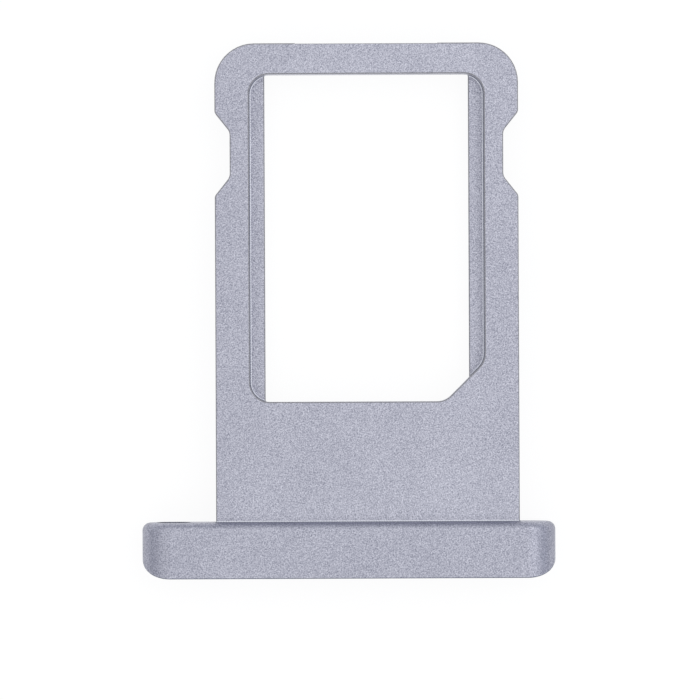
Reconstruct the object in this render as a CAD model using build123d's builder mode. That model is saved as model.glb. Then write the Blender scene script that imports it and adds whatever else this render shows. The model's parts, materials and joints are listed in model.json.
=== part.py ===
# Nano SIM card tray of a tablet: one milled piece of aluminium, a thin card plate behind a rounded end cap.
# X runs across the tray, +Y is the way it slides in, so the cap faces -Y, and +Z is the pocket's open side.
# The origin lies under the middle of the tray, on the surface that the cap rests on.
import os

from build123d import *

# Card that the tray carries, and the play around it
card_width = 8.80
card_length = 12.30
card_thickness = 0.67
card_play = 0.05  # on each side
card_end_play = 0.06  # at each end
card_headroom = 0.03  # above the card

# Pocket and window
pocket_corner_radius = 0.75
key_corner = 1.50  # 45 degree corner that lets the card in one way round
foot_radius = 0.06  # between the pocket wall and the ledges
ledge_width = 0.58
ledge_thickness = 0.35

# Plate around the pocket
rail_width = 1.30  # beside the pocket
end_bar = 1.17  # ahead of the pocket, at the insertion end
land = 4.555  # between the pocket and the cap
tip_radius = 1.50
root_radius = 0.06  # where the plate runs into the cap

# Notch in each long edge, for the reader's detent springs
notch_from_tip = 4.20
notch_mouth = 3.15
notch_floor = 1.72
notch_depth = 0.57
notch_floor_radius = 0.40
notch_mouth_radius = 0.25

# Shallow flat milled across the insertion end
tip_flat_width = 5.40
tip_flat_depth = 0.02

# End cap, with a crowned face that leans back under its top edge
cap_long_end = 2.81  # past the plate, on the eject hole's side
cap_short_end = 1.36  # past the plate, on the other side
cap_height = 2.15
cap_depth_top = 2.145
cap_depth_bottom = 0.44
face_crown_radius = 12.00
cap_rear_radius = 0.30
cap_face_radius = 0.03  # round the rim of the face

# Eject pin hole through the cap's long end
eject_diameter = 1.30
eject_from_end = 1.20

edge_radius = 0.05  # plate edges, rounded over by the blasting
pick_tolerance = 0.001  # for picking faces by their height

# Worked out from the above
pocket_width = card_width + 2 * card_play
pocket_length = card_length + 2 * card_end_play
pocket_depth = card_thickness + card_headroom
window_width = pocket_width - 2 * ledge_width
plate_width = pocket_width + 2 * rail_width
plate_length = end_bar + pocket_length + land
plate_thickness = ledge_thickness + pocket_depth
plate_shift = (cap_long_end - cap_short_end) / 2  # plate's centre line from the cap's
cap_width = cap_long_end + plate_width + cap_short_end
tray_length = cap_depth_top + plate_length
front_y = -tray_length / 2
rear_y = front_y + cap_depth_top
tip_y = rear_y + plate_length
pocket_y = rear_y + land + pocket_length / 2
cap_middle = cap_height / 2
plate_bottom = cap_middle - plate_thickness / 2
ledge_top = plate_bottom + ledge_thickness
plate_top = plate_bottom + plate_thickness


def level_faces(part, height):
    """Level faces of the part at a height."""
    level = part.faces().filter_by(Axis.Z)
    return level.filter_by_position(Axis.Z, height - pick_tolerance, height + pick_tolerance)


def ledge_window_edges(part):
    """Edges of the two ledges along the window."""
    return level_faces(part, ledge_top).edges().filter_by(Axis.Y).sort_by(Axis.X)[1:3]


def ledge_foot_edges(part):
    """Edges of the two ledges at the foot of the pocket wall."""
    return level_faces(part, ledge_top).edges() - ledge_window_edges(part)


with BuildPart() as tray:
    # Cap: its side profile drawn across the whole width, then trimmed to the round-ended front outline
    with BuildSketch(Plane.YZ):
        with BuildLine():
            top_line = Line((rear_y, cap_height), (front_y, cap_height))
            face_line = RadiusArc(top_line @ 1, (rear_y - cap_depth_bottom, 0), -face_crown_radius)
            Polyline(face_line @ 1, (rear_y, 0), top_line @ 0)
        make_face()
    extrude(amount=cap_width / 2, both=True)
    with BuildSketch(Plane.XZ.offset(-rear_y)):
        with Locations((0, cap_middle)):
            SlotOverall(cap_width, cap_height)
    extrude(amount=cap_depth_top, mode=Mode.INTERSECT)
    cap_rear = tray.faces().sort_by(Axis.Y)[-1]
    fillet(cap_rear.edges(), cap_rear_radius)

    # Eject hole, square to the cap's rear face
    with Locations(Plane((eject_from_end - cap_width / 2, rear_y, cap_middle), z_dir=(0, 1, 0))):
        Hole(eject_diameter / 2)
    cap_face = tray.faces().sort_by(SortBy.AREA)[-1]
    fillet(cap_face.edges(), cap_face_radius)

    # Plate, with a rounded tip and a notch in each long edge
    side = plate_width / 2
    notch_y = plate_length - notch_from_tip
    right_edge = [
        (side, 0),
        (side, notch_y - notch_mouth / 2),
        (side - notch_depth, notch_y - notch_floor / 2),
        (side - notch_depth, notch_y + notch_floor / 2),
        (side, notch_y + notch_mouth / 2),
        (side, plate_length),
    ]
    right_radii = [
        0,
        notch_mouth_radius,
        notch_floor_radius,
        notch_floor_radius,
        notch_mouth_radius,
        tip_radius,
    ]
    left_edge = [(-x, y) for x, y in reversed(right_edge)]
    with BuildSketch(Plane((plate_shift, rear_y, plate_bottom))):
        with BuildLine():
            FilletPolyline(right_edge + left_edge, radius=right_radii + right_radii[::-1], close=True)
        make_face()
    extrude(amount=plate_thickness)

    # Pocket for the card, and the window through its floor between the two ledges
    with BuildSketch(Plane((plate_shift, pocket_y, plate_top))) as pocket:
        Rectangle(pocket_width, pocket_length)
        key = pocket.vertices().group_by(Axis.Y)[0].sort_by(Axis.X)[-1]
        chamfer(key, key_corner)
        fillet(pocket.vertices(), pocket_corner_radius)
    extrude(amount=-pocket_depth, mode=Mode.SUBTRACT)
    with BuildSketch(Plane((plate_shift, pocket_y, ledge_top))):
        add(pocket.sketch_local)
        Rectangle(window_width, pocket_length, mode=Mode.INTERSECT)
    extrude(amount=-ledge_thickness, mode=Mode.SUBTRACT)

    # Small fillets: ledges, rims of the plate's two faces, and the plate's root on the cap
    fillet(ledge_window_edges(tray), edge_radius)
    fillet(ledge_foot_edges(tray), foot_radius)
    for height in (plate_bottom, plate_top):
        rim = level_faces(tray, height).edges().sort_by(Axis.Y)[1:]
        fillet(rim, edge_radius)
    cap_rear = tray.faces().filter_by(Axis.Y).group_by(Axis.Y)[0].sort_by(SortBy.AREA)[-1]
    root = cap_rear.inner_wires().sort_by(SortBy.LENGTH)[-1]
    fillet(root.edges(), root_radius)

    # Flat across the insertion end
    with BuildSketch(Plane((plate_shift, tip_y, plate_bottom))):
        Rectangle(tip_flat_width, 2 * tip_flat_depth)
    extrude(amount=plate_thickness, mode=Mode.SUBTRACT)

tray.part.label = "sim_card_tray"
os.makedirs("parts", exist_ok=True)
export_step(tray.part, "parts/sim_card_tray.step")
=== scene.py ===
import json
import math

import bpy
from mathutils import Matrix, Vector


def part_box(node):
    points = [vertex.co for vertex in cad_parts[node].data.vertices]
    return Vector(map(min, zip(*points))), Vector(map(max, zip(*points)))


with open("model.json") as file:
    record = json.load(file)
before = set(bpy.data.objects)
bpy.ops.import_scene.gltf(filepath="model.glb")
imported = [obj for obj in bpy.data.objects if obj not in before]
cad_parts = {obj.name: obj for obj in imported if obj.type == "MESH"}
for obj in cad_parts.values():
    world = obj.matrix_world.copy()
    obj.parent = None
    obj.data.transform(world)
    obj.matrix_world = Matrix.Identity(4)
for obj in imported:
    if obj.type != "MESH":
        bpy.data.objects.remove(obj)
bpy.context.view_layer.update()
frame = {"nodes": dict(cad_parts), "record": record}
tray = frame["nodes"]["sim_card_tray"]
mm = 0.001
print("loaded", tray.name, "with", len(tray.data.polygons), "faces")

# Where things lie on the tray, in mm, from the frame and its mounts.
mounts = {mount["name"]: mount for mount in frame["record"]["mounts"]}
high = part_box("sim_card_tray")[1]  # its highest corner
places = {
    "seat": mounts["card_seat"]["pos_m"][2] / mm,
    "underside": mounts["plate_underside"]["pos_m"][2] / mm,
    "plateTop": (high.z - mounts["plate_underside"]["pos_m"][2]) / mm,
    "plateMiddle": mounts["reader_slide"]["pos_m"][0] / mm,
    "capMiddle": high.z / 2 / mm,
    "capEnd": (high.x - high.z / 2) / mm,  # to the middle of the cap's round ends
    "capRear": (2 * mounts["reader_slide"]["pos_m"][1] - high.y) / mm,  # the slide lies at the plate's middle
    "hole": mounts["eject_hole"]["pos_m"][0] / mm,
    "holeRadius": mounts["eject_hole"]["dims"]["r_mm"],
}


def hexToLinear(hexCode):
    channels = [int(hexCode[i:i + 2], 16) / 255 for i in (1, 3, 5)]
    return [c / 12.92 if c <= 0.04045 else ((c + 0.055) / 1.055) ** 2.4 for c in channels] + [1.0]


def addNode(tree, kind, options, sockets):
    node = tree.nodes.new(kind)
    for name, value in options.items():
        setattr(node, name, value)
    for name, value in sockets.items():  # a socket is linked, anything else is set as the value
        if isinstance(value, bpy.types.NodeSocket):
            tree.links.new(value, node.inputs[name])
        else:
            node.inputs[name].default_value = value
    return node


def newMaterial(name):
    material = bpy.data.materials.new(name)
    material.use_nodes = True
    material.node_tree.nodes.clear()
    return material


# Sockets of a colour Mix node go by number, because their names repeat for each kind of value.
mixShare, mixFrom, mixTo, mixed = 0, 6, 7, 2


def metalFinish(tree, finish, marks, tone):  # marks and tone both run from 0 to 1
    tint = addNode(tree, "ShaderNodeMix", {"data_type": "RGBA"}, {
        mixShare: tone,
        mixFrom: hexToLinear(finish["dark"]),
        mixTo: hexToLinear(finish["light"]),
    })
    sheen = addNode(tree, "ShaderNodeMapRange", {}, {
        "Value": marks,
        "To Min": finish["roughness"][0],
        "To Max": finish["roughness"][1],
    })
    relief = addNode(tree, "ShaderNodeBump", {}, {"Height": marks, "Distance": finish["depthMm"] * mm})
    metal = addNode(tree, "ShaderNodeBsdfPrincipled", {}, {
        "Base Color": tint.outputs[mixed],
        "Metallic": 1.0,
        "Roughness": sheen.outputs["Result"],
        "Normal": relief.outputs["Normal"],
    })
    addNode(tree, "ShaderNodeOutputMaterial", {}, {"Surface": metal.outputs["BSDF"]})


# Fine glass beads: each leaves a dimple, and the dimples overlap.
beads = {
    "dimpleMm": 0.045,
    "turn": (0.6, 0.4, 0.2),  # radians, so that no flat face lies along the noise's own grid
    "range": (0.25, 0.75),  # of the noise, spread out to run from 0 to 1
}


def beadMarks(tree, sizeMm):
    place = addNode(tree, "ShaderNodeTexCoord", {}, {})
    turned = addNode(tree, "ShaderNodeMapping", {}, {
        "Vector": place.outputs["Object"],
        "Rotation": beads["turn"],
    })
    grain = addNode(tree, "ShaderNodeTexNoise", {}, {
        "Vector": turned.outputs["Vector"],
        "Scale": 1 / (sizeMm * mm),
    })
    return addNode(tree, "ShaderNodeMapRange", {}, {
        "Value": grain.outputs["Fac"],
        "From Min": beads["range"][0],
        "From Max": beads["range"][1],
    })


# Marks of a drill or an end mill. On the real tray they are too fine to show, so they are drawn coarser.
cutter = {
    "markMm": 0.10,
    "waveUnit": math.pi / 5,  # a diagonal wave repeats every pi / 5 along each axis
    "chatter": 1.5,  # how far the marks stray from straight lines
    "detail": 1.0,
}


def cutterMarks(tree):
    place = addNode(tree, "ShaderNodeTexCoord", {}, {})
    return addNode(tree, "ShaderNodeTexWave", {"bands_direction": "DIAGONAL"}, {
        "Vector": place.outputs["Object"],
        "Scale": cutter["waveUnit"] / (cutter["markMm"] * mm),
        "Distortion": cutter["chatter"],
        "Detail": cutter["detail"],
    })


# Milled aluminium, blasted with fine glass beads and anodised clear: there is no clear reflection, only
# a broad cool sheen with a fine sparkle of lighter and darker grains. Shade is painted into its colour:
# the cap and the plate's long sides are painted a little darker than the rest, and the cap's round ends more
# so.
blastedAndShade = {
    "dark": "#838595",
    "light": "#D7D8E4",
    "roughness": (0.46, 0.36),
    "depthMm": 0.004,
    # Painted shade: the cap, the plate's long sides and the cap's round ends are painted darker over these
    # spans.
    "capFromMm": 0.1,  # from the cap's rear
    "capToMm": -0.3,
    "capPaintedShade": 0.06,
    "sideFromMm": 3.4,  # from the plate's middle line
    "sideToMm": 5.0,
    "sidePaintedShade": 0.045,
    "endFromMm": 7.34,  # from the cap's middle
    "endToMm": 7.54,
    "endPaintedShade": 0.18,
    "patchMm": 3.0,  # the jet passes unevenly, so the tone drifts a little over a few mm
    "patchTone": 0.05,
}

aluminium = newMaterial("bead-blasted anodised aluminium with painted shade")
tree = aluminium.node_tree
spread = beadMarks(tree, beads["dimpleMm"])
place = addNode(tree, "ShaderNodeTexCoord", {}, {})
axes = addNode(tree, "ShaderNodeSeparateXYZ", {}, {"Vector": place.outputs["Object"]})
# Painted shade on the cap, along the plate's long sides and on the cap's round ends.
capShadeMask = addNode(tree, "ShaderNodeMapRange", {}, {
    "Value": axes.outputs["Y"],
    "From Min": (places["capRear"] + blastedAndShade["capFromMm"]) * mm,
    "From Max": (places["capRear"] + blastedAndShade["capToMm"]) * mm,
    "To Max": blastedAndShade["capPaintedShade"],
})
fromMiddle = addNode(tree, "ShaderNodeMath", {"operation": "SUBTRACT"}, {
    0: axes.outputs["X"],
    1: places["plateMiddle"] * mm,
})
outwards = addNode(tree, "ShaderNodeMath", {"operation": "ABSOLUTE"}, {0: fromMiddle.outputs["Value"]})
sideShadeMask = addNode(tree, "ShaderNodeMapRange", {}, {
    "Value": outwards.outputs["Value"],
    "From Min": blastedAndShade["sideFromMm"] * mm,
    "From Max": blastedAndShade["sideToMm"] * mm,
    "To Max": blastedAndShade["sidePaintedShade"],
})
endwards = addNode(tree, "ShaderNodeMath", {"operation": "ABSOLUTE"}, {0: axes.outputs["X"]})
endShadeMask = addNode(tree, "ShaderNodeMapRange", {}, {
    "Value": endwards.outputs["Value"],
    "From Min": blastedAndShade["endFromMm"] * mm,
    "From Max": blastedAndShade["endToMm"] * mm,
    "To Max": blastedAndShade["endPaintedShade"],
})
capOrSideShadeMask = addNode(tree, "ShaderNodeMath", {"operation": "MAXIMUM"}, {
    0: capShadeMask.outputs["Result"],
    1: sideShadeMask.outputs["Result"],
})
paintedShade = addNode(tree, "ShaderNodeMath", {"operation": "MAXIMUM"}, {
    0: capOrSideShadeMask.outputs["Value"],
    1: endShadeMask.outputs["Result"],
})
patches = beadMarks(tree, blastedAndShade["patchMm"])
drift = addNode(tree, "ShaderNodeMapRange", {}, {
    "Value": patches.outputs["Result"],
    "To Min": -blastedAndShade["patchTone"],
    "To Max": blastedAndShade["patchTone"],
})
drifted = addNode(tree, "ShaderNodeMath", {"operation": "ADD"}, {
    0: spread.outputs["Result"],
    1: drift.outputs["Result"],
})
# The painted shade is taken off the grain's tone.
tone = addNode(tree, "ShaderNodeMath", {"operation": "SUBTRACT"}, {
    0: drifted.outputs["Value"],
    1: paintedShade.outputs["Value"],
})
metalFinish(tree, blastedAndShade, spread.outputs["Result"], tone.outputs["Value"])

# Rims, rounded over by the blasting: a darker, warmer colour is painted on them as shade, which draws a fine
# dark line round the outline. They are a little rougher too.
rimShade = {"dark": "#8A8A8F", "light": "#B0B0B5", "roughness": (0.54, 0.46), "depthMm": 0.002}

rimShadeMetal = newMaterial("anodised aluminium rim with painted shade")
tree = rimShadeMetal.node_tree
spread = beadMarks(tree, beads["dimpleMm"])
metalFinish(tree, rimShade, spread.outputs["Result"], spread.outputs["Result"])

# Tight inside corners that the beads don't reach: the end mill's own smoother surface, with a pale colour
# painted on as a highlight, so they show as fine bright lines beside the painted dark edges.
milledHighlight = {"dark": "#D2D4DC", "light": "#E2E4EC", "roughness": (0.42, 0.34), "depthMm": 0.001}

milledHighlightMetal = newMaterial("end-milled anodised aluminium with painted highlight")
tree = milledHighlightMetal.node_tree
marks = cutterMarks(tree)
metalFinish(tree, milledHighlight, marks.outputs["Fac"], marks.outputs["Fac"])

# The drilled hole, the steep side of the tight corners and the sharp rim of the cap's face, which the beads
# only graze: rough from the tool, with shade painted into their dark colour. So the hole is a dark slit from
# above, the bright corners have a dark line beside them, and another runs along the cap's front.
cutShade = {"dark": "#6C707E", "light": "#848898", "roughness": (0.54, 0.46), "depthMm": 0.002}

cutShadeMetal = newMaterial("rough-cut anodised aluminium with painted shade")
tree = cutShadeMetal.node_tree
marks = cutterMarks(tree)
metalFinish(tree, cutShade, marks.outputs["Fac"], marks.outputs["Fac"])
print("four finishes made")

# How each face of the tray is told apart, in mm and by its normal.
picks = {
    "rim": 0.05,  # as wide as a rim is at most
    "corner": 0.06,  # and an inside corner
    "faceFrom": 0.32,  # all of the cap's face lies further than this from the cap's rear
    "facet": 0.02,  # as far as a facet's middle lies inside the hole's wall
    "flat": 0.02,  # a part of the normal smaller than this counts as none
    "open": 0.7,  # an inside corner that faces up more than this gets the painted highlight
}


def finishOf(face):
    x, y, z = face.center / mm
    along, up = face.normal.y, face.normal.z
    flat, rim, corner = picks["flat"], picks["rim"], picks["corner"]
    behind = y - places["capRear"]
    tilted = flat < up < 1 - flat

    foot = 0 < z - places["seat"] < corner and tilted
    root = 0 < behind < corner and flat < along < 1 - flat
    # Inside corners: the open side gets the painted highlight, the steep side the painted shade.
    if foot or root:
        bright = up > picks["open"] or (root and up < -flat)
        return milledHighlightMetal if bright else cutShadeMetal

    fromHole = math.hypot(x - places["hole"], z - places["capMiddle"]) - places["holeRadius"]
    holeWall = behind < 0 and abs(fromHole) < picks["facet"] and abs(along) < flat
    roundEnd = max(abs(x) - places["capEnd"], 0)
    inCap = places["capMiddle"] - math.hypot(roundEnd, z - places["capMiddle"])
    faceRim = behind < -picks["faceFrom"] and along < -flat and inCap < rim
    # The hole's wall and the cap face's rim get the painted shade.
    if holeWall or faceRim:
        return cutShadeMetal

    topRim = 0 < places["plateTop"] - z < rim and tilted
    ledgeRim = 0 < places["seat"] - z < rim and tilted
    bottomRim = 0 < z - places["underside"] < rim and -1 + flat < up < -flat
    # Rims get the rim colour with painted shade.
    return rimShadeMetal if behind > 0 and (topRim or ledgeRim or bottomRim) else aluminium


finishes = [aluminium, rimShadeMetal, milledHighlightMetal, cutShadeMetal]
tray.data.materials.clear()
for material in finishes:
    tray.data.materials.append(material)
for face in tray.data.polygons:
    face.material_index = finishes.index(finishOf(face))
for i, material in enumerate(finishes):
    print(material.name, "on", sum(face.material_index == i for face in tray.data.polygons), "faces")

# White table top, with a glow of its own so that it stays white round the tray and still takes its soft
# shadow. It is clear from below, so the tray's underside can be looked at.
table = {"sizeM": 2.0, "paper": "#6A6A6A", "glow": 0.89}

paper = newMaterial("white paper table")
tree = paper.node_tree
path = addNode(tree, "ShaderNodeLightPath", {}, {})
seen = addNode(tree, "ShaderNodeMath", {"operation": "ADD"}, {
    0: path.outputs["Is Camera Ray"],
    1: path.outputs["Is Glossy Ray"],
})
seenThrough = addNode(tree, "ShaderNodeMath", {"operation": "ADD", "use_clamp": True}, {
    0: seen.outputs["Value"],
    1: path.outputs["Is Transmission Ray"],
})
glow = addNode(tree, "ShaderNodeMath", {"operation": "MULTIPLY"}, {
    0: seenThrough.outputs["Value"],
    1: table["glow"],
})
glowing = addNode(tree, "ShaderNodeEmission", {}, {"Strength": glow.outputs["Value"]})
matte = addNode(tree, "ShaderNodeBsdfDiffuse", {}, {"Color": hexToLinear(table["paper"])})
both = addNode(tree, "ShaderNodeAddShader", {}, {0: glowing.outputs["Emission"], 1: matte.outputs["BSDF"]})
side = addNode(tree, "ShaderNodeNewGeometry", {}, {})
clear = addNode(tree, "ShaderNodeBsdfTransparent", {}, {})
oneSided = addNode(tree, "ShaderNodeMixShader", {}, {
    0: side.outputs["Backfacing"],
    1: both.outputs["Shader"],
    2: clear.outputs["BSDF"],
})
addNode(tree, "ShaderNodeOutputMaterial", {}, {"Surface": oneSided.outputs["Shader"]})
bpy.ops.mesh.primitive_plane_add(size=table["sizeM"])
floor = bpy.context.object
floor.name = "tableTop"
floor.data.materials.append(paper)
print("table top in place")

# Room light: white overhead, falling off to bluish walls that are darker on the left, with two soft boxes
# above the tray on the right. A low white sweep goes on from the table top, so low views are white too.
room = {
    "overhead": "#FFFFFF",
    "leftWall": "#36426C",
    "rightWall": "#65729A",
    "fallOff": 0.5,  # power of the height, so under 1 the white comes well down the walls
    "sweep": "#FFFFFF",
    "sweepDegrees": 3.7,  # above the horizon
}
lamps = {
    "overheadBox": {"placeM": (0.06, 0.02, 0.12), "sizeM": 0.12, "radiance": 0.25},
    "sideBox": {"placeM": (0.20, 0.05, 0.36), "sizeM": 0.20, "radiance": 0.35},
}

world = bpy.data.worlds.new("softRoom")
bpy.context.scene.world = world
world.use_nodes = True
tree = world.node_tree
tree.nodes.clear()
direction = addNode(tree, "ShaderNodeTexCoord", {}, {})
axes = addNode(tree, "ShaderNodeSeparateXYZ", {}, {"Vector": direction.outputs["Generated"]})
across = addNode(tree, "ShaderNodeMapRange", {}, {"Value": axes.outputs["X"], "From Min": -1.0})
walls = addNode(tree, "ShaderNodeMix", {"data_type": "RGBA"}, {
    mixShare: across.outputs["Result"],
    mixFrom: hexToLinear(room["leftWall"]),
    mixTo: hexToLinear(room["rightWall"]),
})
raised = addNode(tree, "ShaderNodeMath", {"operation": "MAXIMUM"}, {0: axes.outputs["Z"], 1: 0.0})
height = addNode(tree, "ShaderNodeMath", {"operation": "POWER"}, {
    0: raised.outputs["Value"],
    1: room["fallOff"],
})
shade = addNode(tree, "ShaderNodeMix", {"data_type": "RGBA"}, {
    mixShare: height.outputs["Value"],
    mixFrom: walls.outputs[mixed],
    mixTo: hexToLinear(room["overhead"]),
})
aboveSweep = addNode(tree, "ShaderNodeMath", {"operation": "GREATER_THAN"}, {
    0: axes.outputs["Z"],
    1: math.sin(math.radians(room["sweepDegrees"])),
})
around = addNode(tree, "ShaderNodeMix", {"data_type": "RGBA"}, {
    mixShare: aboveSweep.outputs["Value"],
    mixFrom: hexToLinear(room["sweep"]),
    mixTo: shade.outputs[mixed],
})
air = addNode(tree, "ShaderNodeBackground", {}, {"Color": around.outputs[mixed]})
addNode(tree, "ShaderNodeOutputWorld", {}, {"Surface": air.outputs["Background"]})

for name, lamp in lamps.items():
    data = bpy.data.lights.new(name, "AREA")
    data.size = lamp["sizeM"]
    data.energy = lamp["radiance"] * math.pi * lamp["sizeM"] ** 2  # watts that give a box this radiance
    box = bpy.data.objects.new(name, data)
    box.location = lamp["placeM"]
    box.rotation_euler = (-box.location).to_track_quat("-Z", "Y").to_euler()
    box.visible_camera = False
    bpy.context.collection.objects.link(box)
print("room lit")

# Camera straight above the tray, turned by a fraction of a degree.
shot = {
    "xMm": 0.071,
    "yMm": -1.484,
    "distanceMm": 210,  # above the plate
    "fieldMm": 26.506,  # width of the picture at the plate's top
    "rollDegrees": -0.25,
    "clipM": (0.01, 10),
}

cameraData = bpy.data.cameras.new("camera")
cameraData.lens = cameraData.sensor_width * shot["distanceMm"] / shot["fieldMm"]
cameraData.clip_start, cameraData.clip_end = shot["clipM"]
camera = bpy.data.objects.new("camera", cameraData)
camera.location = (shot["xMm"] * mm, shot["yMm"] * mm, (places["plateTop"] + shot["distanceMm"]) * mm)
camera.rotation_euler = (0, 0, math.radians(shot["rollDegrees"]))
bpy.context.collection.objects.link(camera)
bpy.context.scene.camera = camera
bpy.context.scene.view_settings.view_transform = "Standard"
print("camera set")
